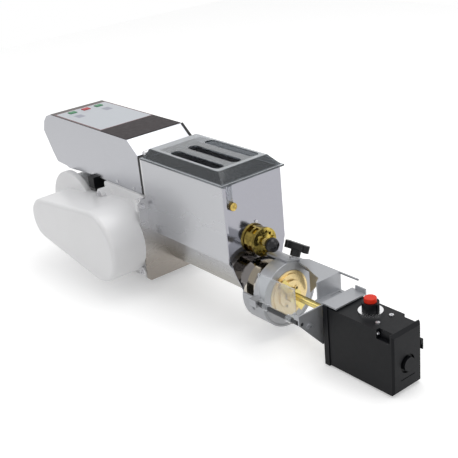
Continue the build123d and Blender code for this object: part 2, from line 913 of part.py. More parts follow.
def lug(x, z, toward_x, toward_z):
    """A round ear on the backplate, tied to it by a rib."""
    y0 = cover_back_y - lug_stand
    y1 = cover_back_y + backplate_thickness
    ear = rod_y(y0, y1, x, z, lug_radius)
    length = math.hypot(toward_x - x, toward_z - z)
    angle = math.degrees(math.atan2(toward_z - z, toward_x - x))
    rib = Pos(x, 0, z) * Rot(Y=-angle) * block(0, length, cover_back_y + 0.5, y1, -lug_radius, lug_radius)
    return ear + rib


def belt_backplate():
    """White cast plate behind the cover, with a lower front lug and an upper lug."""
    y0 = cover_back_y - 20
    y1 = cover_back_y + backplate_thickness
    plate = plate_y(cover_outline(cover_growth - 0.5), cover_back_y, y1)
    for x, z in lug_places:
        plate += lug(x, z, worm_x, worm_height)
    plate &= block(base_rear_x, gearbox_front_x - contact_gap, y0, y1, base_top, gearbox_top)
    plate -= drafted_cover(-contact_gap, cover_face_y)
    plate -= rod_y(y0, y1 + 1, motor_x, motor_height, motor_shield_radius + contact_gap)
    plate -= rod_y(y0, y1 + 1, worm_x, worm_height, worm_bearing_radius + 3)
    for x, z in lug_places:
        plate -= rod_y(y0, y1 + 1, x, z, lug_screw_radius)
    return plate


def lug_screws():
    """Screws through the backplate's lugs into the gearbox."""
    screw = Rot(X=90) * socket_screw(lug_screw_length, lug_screw_radius - running_gap, 4.5, 3.5)
    return [Pos(x, cover_back_y - lug_stand, z) * screw for x, z in lug_places]


# Gears, feed screw and paddles
def screw_gear():
    """Gear keyed on the screw shaft."""
    return Pos(gear_start_x, 0, screw_height) * spur_gear(gear_module, end_gear_teeth, gear_width,
                                                          train_shaft_radius, 90, tooth_backlash)


def idler_gear():
    """Gear that turns on the bulkhead's pin and passes the drive upwards."""
    return Pos(gear_start_x, 0, idler_height) * spur_gear(gear_module, idler_teeth, gear_width,
                                                          idler_pin_radius + running_gap,
                                                          180 / idler_teeth - 90, tooth_backlash)


def paddle_gear():
    """Gear keyed on the paddle shaft."""
    return Pos(gear_start_x, 0, paddle_height) * spur_gear(gear_module, end_gear_teeth, gear_width,
                                                           train_shaft_radius, -90, tooth_backlash)


def worm_wheel():
    """Bronze wheel on the screw shaft, turned by the worm above it."""
    return Pos(worm_x - worm_wheel_width / 2, 0, screw_height) * spur_gear(
        worm_module, worm_wheel_teeth, worm_wheel_width, train_shaft_radius,
        90 + 180 / worm_wheel_teeth, worm_wheel_backlash)


def feed_screw():
    """Shaft and one-start flight that push the dough forward."""
    shaft = rod_x(gearbox_rear_x + 2, 0, 0, screw_height, train_shaft_radius)
    shaft += rod_x(-0.5, contact_gap + 0.5, 0, screw_height, train_shaft_radius)
    shaft += rod_x(contact_gap, screw_nose_x, 0, screw_height, screw_core_radius)
    shaft += cone_x(screw_nose_x, screw_nose_x + screw_nose_length, screw_height, screw_core_radius,
                    screw_core_radius / 2)
    flight = screw_thread(screw_pitch, screw_nose_x - flight_end_gap - flight_start_x, screw_core_radius,
                          screw_radius, flight_thickness, flight_thickness)
    return shaft + Pos(flight_start_x, 0, screw_height) * Rot(Y=90) * flight


def paddle_shaft():
    """Kneading shaft with crossed paddle rods over the feed screw."""
    shaft = rod_x(gearbox_rear_x + 2, contact_gap + 0.5, 0, paddle_height, train_shaft_radius)
    shaft += rod_x(contact_gap, trough_length - contact_gap, 0, paddle_height, paddle_shaft_radius)
    shaft += rod_x(trough_length - 1, journal_end_x, 0, paddle_height, train_shaft_radius)
    spacing = (trough_length - last_paddle_gap - first_paddle_x) / (paddle_count - 1)
    rod = rod_z(-paddle_reach, paddle_reach, 0, 0, paddle_rod_radius)
    for i in range(paddle_count):
        shaft += Pos(first_paddle_x + i * spacing, 0, paddle_height) * Rot(X=60 * i) * rod
    return shaft


# Trough and front plate
def trough():
    """Stainless hopper with a V bottom that ends in the screw channel."""
    outer = plate_x(channel_outline(trough_near, trough_far, trough_rim, trough_fold, channel_radius),
                    0, trough_length)
    inner = plate_x(channel_outline(trough_near - sheet, trough_far - sheet, trough_rim + 1,
                                    trough_fold + sheet / 2, channel_radius - sheet), -1, trough_length + 1)
    return outer - inner


def front_side(half_width):
    """One side of the front plate's outline, from its top down."""
    return [(half_width, trough_rim), (half_width, front_fold),
            (half_width - front_shoulder_inset, front_shoulder), (front_waist, front_waist_height),
            (front_foot_half_width, front_bottom)]


def front_plate():
    """Mirror-bright plate that closes the trough, with a forward flange at its near side."""
    near_side = [(-y, z) for y, z in reversed(front_side(trough_near))]
    plate = plate_x(outline(*front_side(trough_far), *near_side), trough_length, front_x)
    plate -= rod_x(trough_length - 1, front_x + 1, 0, screw_height, screw_radius + screw_bore_gap)
    plate -= rod_x(trough_length - 1, front_x + 1, 0, paddle_height, bearing_spigot_radius)
    plate -= rod_x(trough_length - 1, front_x + 1, *plate_screw_place, plate_screw_radius)
    return plate + block(trough_length, front_x + near_flange, -trough_near, sheet - trough_near,
                         near_flange_low, trough_rim - 1)


def plate_screws():
    """One small screw in the front plate above the bearing."""
    screw = Rot(Y=90) * socket_screw(front_thickness, plate_screw_radius, plate_screw_head_radius,
                                     plate_screw_head_height)
    return [Pos(front_x, *plate_screw_place) * screw]


# Front bearing, release plunger and ball
def front_bearing():
    """Brass bearing of the paddle shaft, with two windows and a toothed recess in its flange."""
    end = front_x + bearing_length
    body = rod_x(front_x, end, 0, paddle_height, bearing_radius)
    body += rod_x(end - bearing_flange, end, 0, paddle_height, bearing_flange_radius)
    body += rod_x(trough_length, front_x + 1, 0, paddle_height, bearing_spigot_radius)
    points = []
    for i, (along, up) in enumerate(circle_points(2 * star_points)):
        radius = star_radius if i % 2 else star_radius - star_tooth
        points.append((radius * along, radius * up))
    body -= Pos(0, 0, paddle_height) * plate_x(outline(*points), end - star_depth, end + 1)
    window = block(front_x + 2, end - bearing_flange - 1, -window_width / 2, window_width / 2,
                   bearing_radius - window_depth, bearing_radius + 1)
    for angle in window_angles:
        body -= Pos(0, 0, paddle_height) * Rot(X=angle - 90) * window
    body -= rod_x(trough_length - 1, journal_end_x + contact_gap, 0, paddle_height,
                  train_shaft_radius + running_gap)
    return body - rod_x(trough_length, end + 1, 0, paddle_height, plunger_radius + running_gap)


def ball_socket():
    """The hole that the plunger fills in the ball."""
    return rod_x(ball_x - ball_radius - 1, ball_x - ball_seat, 0, paddle_height, plunger_radius)


def release_plunger():
    """Steel plunger in the bearing's centre with a neck for the ball."""
    neck_start = front_x + bearing_length + contact_gap
    neck = rod_x(neck_start, ball_x - ball_radius + 3, 0, paddle_height, neck_radius)
    neck -= Pos(ball_x, 0, paddle_height) * Sphere(ball_radius)
    return neck + rod_x(front_x + plunger_reach, ball_x - ball_seat, 0, paddle_height, plunger_radius)


def ball_knob():
    """Black ball on the plunger."""
    return Pos(ball_x, 0, paddle_height) * Sphere(ball_radius) - ball_socket()


# Barrel, ring nut and die
def barrel_head():
    """Bolted barrel around the screw that widens into the threaded head."""
    flange_end = front_x + barrel_flange
    head = rod_x(front_x, flange_end, 0, screw_height, barrel_flange_radius)
    head &= block(front_x, flange_end, -barrel_flange_radius, barrel_flange_radius, front_bottom,
                  screw_height + barrel_flange_radius)
    head += rod_x(flange_end - 1, head_start_x + 1, 0, screw_height, barrel_outer_radius)
    head += rod_x(head_start_x, head_end_x, 0, screw_height, head_radius)
    bore = screw_radius + screw_bore_gap
    head -= rod_x(front_x - 1, screw_nose_x, 0, screw_height, bore)
    return head - cone_x(screw_nose_x - 0.5, head_end_x, screw_height, bore, head_mouth_radius)


def ring_nut():
    """Smooth steel ring nut whose lip holds the die."""
    nut = rod_x(nut_start_x, nut_front_x, 0, screw_height, nut_outer_radius)
    nut = chamfer(nut.edges().filter_by(GeomType.CIRCLE).sort_by(Axis.X)[-1], nut_edge)
    nut -= rod_x(nut_start_x - 1, die_back_x + die_rim_thickness + contact_gap, 0, screw_height,
                 head_radius + contact_gap)
    nut -= rod_x(nut_start_x, nut_front_x + 1, 0, screw_height, die_radius + die_lip_gap)
    slot = block(nut_start_x - 1, nut_start_x + nut_slot_length, -nut_slot_width / 2, nut_slot_width / 2,
                 nut_outer_radius - nut_slot_depth, nut_outer_radius + 1)
    for i in range(nut_slot_count):
        nut -= Pos(0, 0, screw_height) * Rot(X=45 + 360 * i / nut_slot_count) * slot
    return nut


def die():
    """Bronze die: rim under the nut's lip, stepped face, centre boss and two pierced inserts."""
    rim_end = die_back_x + die_rim_thickness
    step = die_face_x + die_step_height
    boss = die_face_x + die_boss_height
    disc = rod_x(die_back_x, rim_end, 0, screw_height, die_rim_radius)
    disc += rod_x(rim_end, die_face_x, 0, screw_height, die_radius)
    disc += rod_x(die_face_x, step, 0, screw_height, die_radius - die_step_width)
    disc += rod_x(step, boss - die_insert_height, 0, screw_height, die_boss_radius)
    for y, z in die_insert_places:
        disc += rod_x(boss - die_insert_height - 1, boss, y, screw_height + z, die_insert_radius)
        disc -= rod_x(die_back_x - 1, boss + 1, y, screw_height + z, die_hole_radius)
    return disc


# Lid
def lid_rectangle(inset, rear, front, side, z):
    """A rectangle on the lid's plan, drawn in from its edges."""
    x0 = lid_rear_x + rear + inset
    x1 = lid_front_x - front - inset
    y0 = -lid_near + side + inset
    y1 = lid_far - side - inset
    return Pos((x0 + x1) / 2, (y0 + y1) / 2, z) * Rectangle(x1 - x0, y1 - y0)


def lid_hood(inset, low, high):
    """The lid's raised hood as a frustum between two rectangles."""
    foot = lid_rectangle(inset, lid_skirt_inset, lid_skirt_inset, lid_skirt_inset, low)
    crown = lid_rectangle(inset, crown_rear_inset, crown_front_inset, crown_side_inset, high)
    return loft([foot, crown])


def lid():
    """Clear hinged lid with a raised hood, long vents and a strap at the front."""
    shell = block(lid_rear_x, lid_front_x, -lid_near, lid_far, lid_low_z, lid_low_z + lid_flange)
    shell += lid_hood(0, lid_low_z + lid_flange, lid_top_z)
    shell -= lid_hood(lid_wall, lid_low_z + 1, lid_top_z - lid_wall)
    edge = lid_skirt_inset + lid_wall
    shell -= block(lid_rear_x + edge, lid_front_x - edge, -lid_near + edge, lid_far - edge,
                   lid_low_z - 1, lid_low_z + 2)
    vent_front = lid_front_x - crown_front_inset - vent_front_gap
    vent_end = vent_width / 2
    lid_centre = (lid_far - lid_near) / 2
    for i in range(vent_count):
        y = lid_centre + (i - (vent_count - 1) / 2) * vent_pitch
        vent = block(vent_front - vent_length + vent_end, vent_front - vent_end, y - vent_end, y + vent_end,
                     lid_top_z - 2 * lid_wall, lid_top_z + 1)
        for x in (vent_front - vent_length + vent_end, vent_front - vent_end):
            vent += rod_z(lid_top_z - 2 * lid_wall, lid_top_z + 1, x, y, vent_end)
        shell -= vent
    shell += block(lid_front_x - lid_wall, lid_front_x, strap_y - strap_width / 2, strap_y + strap_width / 2,
                   strap_bottom, lid_low_z + 1)
    shell -= rod_x(lid_front_x - lid_wall - 1, lid_front_x + 1, strap_y, strap_bottom + strap_eye_height,
                   thumb_screw_radius + contact_gap)
    for y in lid_knuckles:
        y0 = y - lid_knuckle_length / 2
        y1 = y + lid_knuckle_length / 2
        shell += rod_y(y0, y1, hinge_x, hinge_z, knuckle_radius)
        shell += block(hinge_x, lid_rear_x + 10, y0, y1, hinge_z - knuckle_radius, lid_low_z + lid_flange)
    return shell - rod_y(-lid_near, lid_near, hinge_x, hinge_z, hinge_pin_radius + contact_gap)


def lid_hinge_pin():
    """Steel pin through the knuckles of bulkhead and lid."""
    return rod_y(hinge_knuckles[0] - knuckle_length / 2, hinge_knuckles[-1] + knuckle_length / 2,
                 hinge_x, hinge_z, hinge_pin_radius)


def thumb_knob():
    """Brass thumb screw in the lid's strap."""
    z = strap_bottom + strap_eye_height
    start = lid_front_x + contact_gap
    knob = rod_x(start, start + thumb_knob_length, strap_y, z, thumb_knob_radius)
    for along, up in circle_points(knurl_count):
        reach = thumb_knob_radius + knurl_radius / 2
        knob -= rod_x(start - 1, start + thumb_knob_length + 1, strap_y + reach * along, z + reach * up,
                      knurl_radius)
    return knob + rod_x(front_x + contact_gap, start + 1, strap_y, z, thumb_screw_radius)


# Control box
def box_profile():
    """Side outline of the control box: level top, sloped front, tucked-in rear."""
    return outline((box_front_x, box_floor_z + 2), (box_front_x, box_slope_z), (box_slope_x, box_top),
                   (box_rear_top_x, box_top), (box_rear_top_x - 17, box_top - 6),
                   (box_tip_x + 8, box_top - 18), (box_tip_x, box_top - box_tip_drop),
                   (box_tip_x + 6, box_top - box_tip_drop - 10), (box_rear_low_x - 14, box_floor_z + 18),
                   (box_rear_low_x, box_floor_z - 1), (box_dip_x - 13, box_floor_z - 3),
                   (box_dip_x, box_floor_z - box_dip), (box_dip_end_x, box_floor_z),
                   (floor_front_edge_x, box_floor_z))


def floor_band():
    """The part of the case's height that its floor sheet takes."""
    return block(floor_rear_x, floor_front_x, -box_half_width + sheet, box_half_width - sheet,
                 box_floor_z - 2 * box_dip, box_floor_z + 2 * box_dip)


def inlet_block(y0, y1, growth):
    """A rectangular block about the mains inlet's centre."""
    z = box_floor_z + inlet_rise
    return block(inlet_x - inlet_length / 2 - growth, inlet_x + inlet_length / 2 + growth, y0, y1,
                 z - inlet_height / 2 - growth, z + inlet_height / 2 + growth)


def control_box():
    """Sheet-steel case over gearbox and motor, open below."""
    w = box_half_width
    shell = plate_y(box_profile(), -w, w)
    shell -= plate_y(offset(box_profile(), -sheet, kind=Kind.INTERSECTION), -w + sheet, w - sheet)
    shell -= floor_band()
    for y in button_places:
        shell -= button_slot(y)
    for x, rise in box_screw_places:
        shell -= rod_y(-w - 1, -w + sheet + 1, x, box_floor_z + rise, box_screw_radius)
    return shell - inlet_block(w - 2 * sheet, w + 1, 0)


def box_screws():
    """Two small screws low on the case's near side."""
    screw = Rot(X=90) * socket_screw(sheet, box_screw_radius - running_gap, box_screw_head_radius,
                                     box_screw_head_height)
    return [Pos(x, -box_half_width, box_floor_z + rise) * screw for x, rise in box_screw_places]


def button_slot(y):
    """Opening for one button through case and overlay."""
    half_x = button_length / 2 + button_gap
    half_y = button_width / 2 + button_gap
    return block(button_x - half_x, button_x + half_x, y - half_y, y + half_y, box_top - 5, box_top + 5)


def box_floor():
    """Floor sheet of the control box, which rests on the gearbox."""
    body = plate_y(box_profile(), -box_half_width + sheet, box_half_width - sheet)
    return (body - Pos(0, 0, sheet) * body) & floor_band()


def box_gasket():
    """Black rubber frame between case and bulkhead, split low down, with a trim up the far slope."""
    w = box_half_width + gasket_proud
    low = box_floor_z + 2
    frame = block(box_front_x, gearbox_front_x, -w, w, low, box_slope_z - 2)
    frame -= block(box_front_x - 1, 0, -w + gasket_wall, w - gasket_wall, low + gasket_wall,
                   box_slope_z - 2 - gasket_wall)
    frame -= block(box_front_x - 1, 0, -w - 1, -w + gasket_wall + 1, low + gasket_break,
                   low + gasket_break + gasket_break_width)
    rise = 1.2
    trim = outline((box_front_x, box_slope_z - 3), (box_front_x, box_slope_z), (box_slope_x, box_top),
                   (box_slope_x + 1, box_top + rise), (box_front_x + 1.5, box_slope_z + rise),
                   (box_front_x + 1.5, box_slope_z - 3))
    return frame + plate_y(trim, box_half_width - 2 * sheet, w)


def overlay(x0, x1):
    """A thin printed film on the case's top."""
    film = block(x0, x1, -overlay_half_width, overlay_half_width, box_top, box_top + overlay_thickness)
    for y in button_places:
        film -= button_slot(y)
    return film


def push_button(y):
    """Button cap that slides through the case, with a collar under it."""
    half_x = button_length / 2
    half_y = button_width / 2
    top = box_top + overlay_thickness + button_rise
    cap = block(button_x - half_x, button_x + half_x, y - half_y, y + half_y, box_top - 3, top)
    cap = fillet(cap.faces().sort_by(Axis.Z)[-1].edges(), 0.6)
    collar_z = box_top - sheet - button_collar
    collar = block(button_x - half_x - button_collar, button_x + half_x + button_collar,
                   y - half_y - button_collar, y + half_y + button_collar, collar_z - 1, collar_z + 0.7)
    return cap + collar


def control_board():
    """Circuit board under the keypad with switches, capacitors and posts."""
    top = board_z + board_thickness
    half = switch_size / 2
    board = block(board_rear_x, board_front_x, -board_half_width, board_half_width, board_z, top)
    for y in button_places:
        board += block(button_x - half, button_x + half, y - half, y + half, top, top + switch_height)
    for x in (board_rear_x + board_post_inset, board_front_x - board_post_inset):
        for y in (-board_half_width + board_post_inset, board_half_width - board_post_inset):
            board += rod_z(top, box_top - sheet, x, y, board_post_radius)
    for x in capacitor_places:
        board += rod_z(board_z - capacitor_height, board_z, x, 10, capacitor_radius)
    return board


def power_inlet():
    """Mains socket on the far side of the case."""
    w = box_half_width
    z = box_floor_z + inlet_rise
    body = inlet_block(w, w + 4, inlet_lip) + inlet_block(w - inlet_depth, w, 0)
    body -= inlet_block(w - inlet_depth + 8, w + 5, -4)
    for x in inlet_pins:
        body += block(inlet_x + x - 1.5, inlet_x + x + 1.5, w - inlet_depth + 7, w - 2, z - 2, z + 2)
    return body


# Cutter bracket, clamp knob and guard
def clamp_band():
    """Open ring around the nut."""
    band = ring_x(clamp_rear_x, nut_front_x, 0, screw_height, clamp_outer_radius, clamp_inner_radius)
    reach = 2 * clamp_outer_radius
    mouth = [(0.0, 0.0)]
    start = clamp_arc_end - 360
    for degrees in (start, (start + clamp_arc_start) / 2, clamp_arc_start):
        angle = math.radians(degrees)
        mouth.append((reach * math.cos(angle), reach * math.sin(angle)))
    band -= Pos(0, 0, screw_height) * plate_x(outline(*mouth), clamp_rear_x - 1, nut_front_x + 1)
    screw = rod_z(clamp_outer_radius - 1, clamp_outer_radius + 2, 0, 0, stud_radius)
    return band + Pos(nut_front_x - 27, 0, screw_height) * Rot(X=clamp_screw_angle - 90) * screw


def bracket_arm():
    """Top sheet, far side sheet, web and finger between the band and the shelf."""
    joint_x = nut_front_x - arm_joint_length
    side_y = arm_far_y - bracket_sheet
    top = outline((joint_x, 24), (nut_front_x, arm_near_y + 2), (nut_front_x + 30, arm_near_y - 4),
                  (nut_front_x + 54, arm_near_y - 13), (web_x - 8, 2), (web_x, web_near_y),
                  (web_x + bracket_sheet, web_near_y), (web_x + bracket_sheet, arm_far_y),
                  (nut_front_x + arm_start, arm_far_y), (nut_front_x, arm_far_y - 6), (joint_x, arm_far_y - 6))
    arm = Pos(0, 0, arm_height - bracket_sheet) * extrude(top, bracket_sheet)
    side_start = nut_front_x + arm_start
    side = outline((side_start, arm_height), (side_start, screw_height - arm_drop),
                   (side_start + 28, shelf_height + 2), (web_x + 1, shelf_height + 2), (web_x + 1, arm_height))
    arm += plate_y(side, side_y, arm_far_y)
    arm += block(joint_x, side_start + 1, side_y, arm_far_y, screw_height + arm_joint_low,
                 screw_height + arm_joint_high)
    arm -= rod_x(clamp_rear_x, nut_front_x + 1, 0, screw_height, clamp_inner_radius + 1)
    arm += block(web_x, web_x + bracket_sheet, web_near_y, arm_far_y, shelf_height, arm_height)
    return arm + block(web_x, web_x + finger_reach, side_y, arm_far_y, arm_height - bracket_sheet, arm_height)


def bracket_shelf():
    """Shelf, upstand and hook plate that carry the cutter."""
    shelf = block(web_x + 1, shelf_end_x, shelf_near_y, shelf_far_y, shelf_height, shelf_height + bracket_sheet)
    shelf -= block(web_x + 8, web_x + 18, 8, 30, shelf_height + bracket_sheet / 2,
                   shelf_height + bracket_sheet + 1)
    shelf += block(shelf_end_x - bracket_sheet, shelf_end_x, hook_near_y, shelf_far_y, shelf_height,
                   hook_z + bracket_sheet)
    shelf += block(shelf_end_x - bracket_sheet, hook_front_x, hook_near_y, hook_far_y, hook_z,
                   hook_z + bracket_sheet)
    return shelf + block(cutter_rear_x + 4, hook_front_x, hook_far_y - bracket_sheet, hook_far_y, hook_z,
                         hook_z + hook_tab_height)


def bracket_ear():
    """Plate under the shelf, with a screw head, that holds the front end of the guard's rail."""
    corners = outline((ear_near_y, ear_top), (ear_near_y, ear_corner_height), (ear_bottom_y, ear_bottom),
                      (ear_far_y, ear_bottom), (ear_far_y, ear_top))
    ear = plate_x(corners, ear_x, ear_front_x)
    ear += rod_x(ear_front_x - 1, ear_front_x + ear_screw_height, *ear_screw_place, ear_screw_radius)
    ear -= rod_x(ear_front_x, ear_front_x + ear_screw_height + 1, *ear_screw_place, ear_screw_radius / 2)
    return ear + block(ear_x - ear_flange, ear_front_x, ear_near_y, ear_near_y + bracket_sheet,
                       ear_top - ear_flange_height, ear_top)


def at_clamp_knob(shape):
    """Place a shape drawn upright at the band's clamping screw."""
    return Pos(clamp_knob_x, 0, screw_height) * Rot(X=-clamp_knob_angle) * shape


def cutter_bracket():
    """Open clamp around the ring nut with the arm that carries the cutter."""
    boss = block(nut_front_x - 16, nut_front_x, rail_y - rail_boss, rail_y + 10, rail_height - rail_boss,
                 rail_height + rail_boss)
    boss -= rod_x(clamp_rear_x, nut_front_x + 1, rail_y, rail_height, rail_pin_radius)
    seat = at_clamp_knob(rod_z(clamp_outer_radius - 1, clamp_outer_radius + 1.5, 0, 0, clamp_stem_radius))
    hole = at_clamp_knob(rod_z(clamp_inner_radius - 2, clamp_outer_radius + 3, 0, 0, stud_radius + contact_gap))
    bracket = clamp_band() + bracket_arm() + bracket_shelf() + bracket_ear() + boss + seat
    return bracket - hole - rod_x(ear_x - 1, ear_front_x + 1, rail_y, rail_height, rail_pin_radius)


def clamp_knob():
    """Black T-knob whose steel stud clamps the bracket on the ring nut."""
    stem = rod_z(clamp_stem_start, clamp_stem_end, 0, 0, clamp_stem_radius)
    waist = clamp_bar_width * 0.8
    bar = block(-clamp_bar_length / 2, clamp_bar_length / 2, -waist / 2, waist / 2, clamp_stem_end - 1,
                clamp_stem_end + clamp_bar_height)
    bar = fillet(bar.edges().filter_by(Axis.Z), waist / 2 - 0.3)
    for side in (-1, 1):
        end = side * (clamp_bar_length / 2 - clamp_bar_width / 2)
        bar += rod_z(clamp_stem_end - 1, clamp_stem_end + clamp_bar_height, end, 0, clamp_bar_width / 2)
    stud = rod_z(clamp_inner_radius, clamp_stem_start + 1, 0, 0, stud_radius)
    return at_clamp_knob(stem + Rot(Z=clamp_bar_turn) * bar + stud)


def guard_rail():
    """Dark round rail beside the knife, with thinner ends in the clamp's boss and the ear plate."""
    rail = rod_x(nut_front_x - 16, ear_front_x, rail_y, rail_height, rail_pin_radius)
    return rail + rod_x(nut_front_x + rail_start, ear_x - rail_end_gap, rail_y, rail_height, rail_radius)


def guard():
    """Clear hinged guard that stands on two sleeves around the rail."""
    panel = block(guard_start_x, guard_end_x, rail_y - guard_thickness / 2, rail_y + guard_thickness / 2,
                  rail_height + rail_radius + 0.5, rail_height + guard_height)
    for x in (guard_start_x + 8, guard_end_x - 8 - sleeve_length):
        panel += rod_x(x, x + sleeve_length, rail_y, rail_height, sleeve_radius)
    return panel - rod_x(guard_start_x - 1, guard_end_x + 1, rail_y, rail_height, rail_radius + contact_gap)


# Short-pasta cutter
def cutter_section(inset, x0, x1):
    """A length of the cutter's rectangular body, shrunk evenly."""
    return block(x0, x1, -cutter_half_width + inset, cutter_half_width - inset,
                 cutter_bottom + inset, cutter_top - inset)


def corner_block(side, inner, outer, x0, x1, z0, z1):
    """A block along one upper edge of the cutter's body."""
    y0, y1 = sorted((side * inner, side * outer))
    return block(x0, x1, y0, y1, z0, z1)


def cutter_housing():
    """Black case with a wider rear lip and two notched corners."""
    w = cutter_half_width
    body = cutter_section(0, cutter_rear_x, cap_start_x)
    body += cutter_section(-lip_height, cutter_rear_x - 2, cutter_rear_x + lip_length - 1)
    hollow = cutter_section(cutter_wall, cutter_rear_x + cutter_wall, cap_start_x + 1)
    for side in (-1, 1):
        hollow -= corner_block(side, w - notch_width - cutter_wall, w, notch_start_x - cutter_wall,
                               cap_start_x + 1, cutter_top - notch_depth - cutter_wall, cutter_top)
    body -= hollow
    for side in (-1, 1):
        body -= corner_block(side, w - notch_width, w + 1, notch_start_x, cap_start_x + 1,
                             cutter_top - notch_depth, cutter_top + 1)
        body -= rod_x(notch_start_x - cutter_wall - 1, notch_start_x + 1, side * (w - notch_width / 2),
                      cutter_top - notch_depth / 2, small_screw_radius)
    body -= rod_x(cutter_rear_x - 3, cutter_rear_x + 2 * cutter_wall, 0, screw_height, knife_bearing_radius)
    body -= rod_z(cutter_top - 10, cutter_top + 1, knob_x, knob_y, spindle_radius + contact_gap)
    for y in stud_y:
        body -= rod_z(cutter_top - 10, cutter_top + 1, stud_x, y, small_screw_radius)
    return body


def cutter_end_cap():
    """Black front panel with bevelled edges, a disc that stands in a round groove, and a small side latch."""
    w = cutter_half_width
    panel = cutter_section(0, cap_start_x, cutter_front_x)
    front = panel.faces().sort_by(Axis.X)[-1].edges()
    top = front.sort_by(Axis.Z)[-1]
    panel = chamfer(top, end_cap_top_bevel)
    rest = panel.faces().sort_by(Axis.X)[-1].edges().sort_by(Axis.Z)[:-1]
    panel = chamfer(rest, end_cap_bevel)
    panel += cutter_section(cutter_wall + 0.2, cap_start_x - 3, cap_start_x) & block(
        cap_start_x - 4, cutter_front_x, -w + 11, w - 11, 0, cutter_top)
    face = cutter_front_x
    panel -= ring_x(face - plug_groove, face, 0, plug_height, plug_radius, plug_disc_radius)
    panel += rod_x(face - 1, face + plug_rise, 0, plug_height, plug_disc_radius)
    panel -= block(face - 1, face + 1, -plug_radius, plug_radius, plug_height - plug_radius - 9,
                   plug_height - plug_radius - 7.5)
    panel += block(cap_start_x, face - 1, w, w + 5, latch_height, latch_height + 8)
    return panel + block(cap_start_x, face - 1, w + 3, w + 5, latch_height - 9, latch_height + 8)


def knife_bearing():
    """Flanged bush of the knife shaft in the cutter's rear wall."""
    return ring_x(cutter_rear_x - 2, cutter_rear_x + cutter_wall, 0, screw_height, knife_bearing_radius,
                  knife_shaft_radius + running_gap)


def gearmotor():
    """Small gear motor that turns the knife, held in the case by a collar."""
    body = rod_x(gearmotor_start_x, gearmotor_end_x, 0, screw_height, gearmotor_radius)
    body += block(gearmotor_start_x - 6, gearmotor_start_x + 4, -cutter_half_width + cutter_wall,
                  cutter_half_width - cutter_wall, screw_height - gearmotor_radius - 2,
                  screw_height + gearmotor_radius + 2)
    return body - rod_x(cutter_rear_x, gearmotor_start_x + gearmotor_bore, 0, screw_height,
                        knife_shaft_radius + running_gap)


def knife():
    """Shaft, hub and two thin blades that pass close over the die."""
    shaft = rod_x(knife_start_x, gearmotor_start_x + gearmotor_bore - 1, 0, screw_height, knife_shaft_radius)
    shaft += rod_x(knife_start_x, knife_start_x + knife_hub_length, 0, screw_height, knife_hub_radius)
    blade = block(knife_start_x, knife_start_x + knife_thickness, -knife_width / 2, knife_width / 2,
                  0, knife_reach)
    for i in range(knife_count):
        shaft += Pos(0, 0, screw_height) * Rot(X=knife_angle + 360 * i / knife_count) * blade
    return shaft


def dial_plate():
    """Silver ring around the speed knob."""
    return rod_z(cutter_top, cutter_top + dial_thickness, knob_x, knob_y, dial_radius) - rod_z(
        cutter_top - 1, cutter_top + 5, knob_x, knob_y, spindle_radius + contact_gap)


def speed_knob():
    """Black knob with a pointer nib and its spindle."""
    top = knob_base_z + knob_height - knob_cap_height
    knob = rod_z(knob_base_z, top, knob_x, knob_y, knob_radius)
    knob += block(knob_x + knob_radius - 2, knob_x + knob_radius + 2, knob_y - 1.5, knob_y + 1.5,
                  knob_base_z, top)
    return knob + rod_z(cutter_top - 8, knob_base_z + 1, knob_x, knob_y, spindle_radius)


def knob_cap():
    """Red cap on the speed knob."""
    start = knob_base_z + knob_height - knob_cap_height
    cap = rod_z(start, start + knob_cap_height, knob_x, knob_y, knob_cap_radius)
    return fillet(cap.faces().sort_by(Axis.Z)[-1].edges(), 1)


def potentiometer():
    """Speed control under the cutter's top panel."""
    top = cutter_top - cutter_wall
    return rod_z(top - pot_height, top, knob_x, knob_y, pot_radius) - rod_z(
        top - pot_height - 1, top + 1, knob_x, knob_y, spindle_radius + running_gap)


def cutter_screws():
    """Two bright studs on top and one screw in each corner notch."""
    screws = []
    for y in stud_y:
        screws.append(Pos(stud_x, y, cutter_top) * socket_screw(8, small_screw_radius, 3.5, 2.2))
    for side in (-1, 1):
        y = side * (cutter_half_width - notch_width / 2)
        screw = Rot(Y=90) * socket_screw(3, small_screw_radius, 2.6, 2.2)
        screws.append(Pos(notch_start_x, y, cutter_top - notch_depth / 2) * screw)
    return screws


def frame_screws():
    """Screws of feet, lugs, bulkhead, plate and case, and the lid's hinge pin."""
    bolt = Rot(Y=90) * socket_screw(bulkhead_thickness + 5, bolt_radius - running_gap, bolt_head_radius,
                                    bolt_head_height)
    bolts = [Pos(0, y, z) * bolt for y, z in bulkhead_bolt_places]
    return foot_screws() + lug_screws() + bolts + plate_screws() + box_screws() + [lid_hinge_pin()]


export("base_plate", base_plate())
export("rubber_feet", *rubber_feet())
export("screws_and_pin", *frame_screws())
export("gearbox_housing", gearbox_housing())
export("bulkhead", bulkhead())
export("shaft_bearings", *shaft_bearings())
export("seals", *seals())
export("worm_shaft", worm_shaft())
export("worm_pulley", belt_pulley(worm_x, worm_height, worm_pulley_radius, worm_shaft_radius))
export("motor_pulley", belt_pulley(motor_x, motor_height, motor_pulley_radius, motor_shaft_radius))
export("drive_belt", drive_belt())
export("motor_shield", motor_near_shield())
export("motor_housing", motor_housing())
export("motor_stator", motor_stator())
export("motor_rotor", motor_rotor())
export("motor_fan", motor_fan())
export("motor_cowl", motor_cowl())
export("terminal_box", terminal_box())
export("belt_cover", belt_cover())
export("belt_backplate", belt_backplate())
export("screw_gear", screw_gear())
export("idler_gear", idler_gear())
export("paddle_gear", paddle_gear())
export("worm_wheel", worm_wheel())
export("feed_screw", feed_screw())
export("paddle_shaft", paddle_shaft())
export("trough", trough())
export("front_plate", front_plate())
export("front_bearing", front_bearing())
export("release_plunger", release_plunger())
export("ball_knob", ball_knob())
export("barrel_head", barrel_head())
export("ring_nut", ring_nut())
export("die", die())
export("lid", lid())
export("thumb_knob", thumb_knob())
export("control_box", control_box())
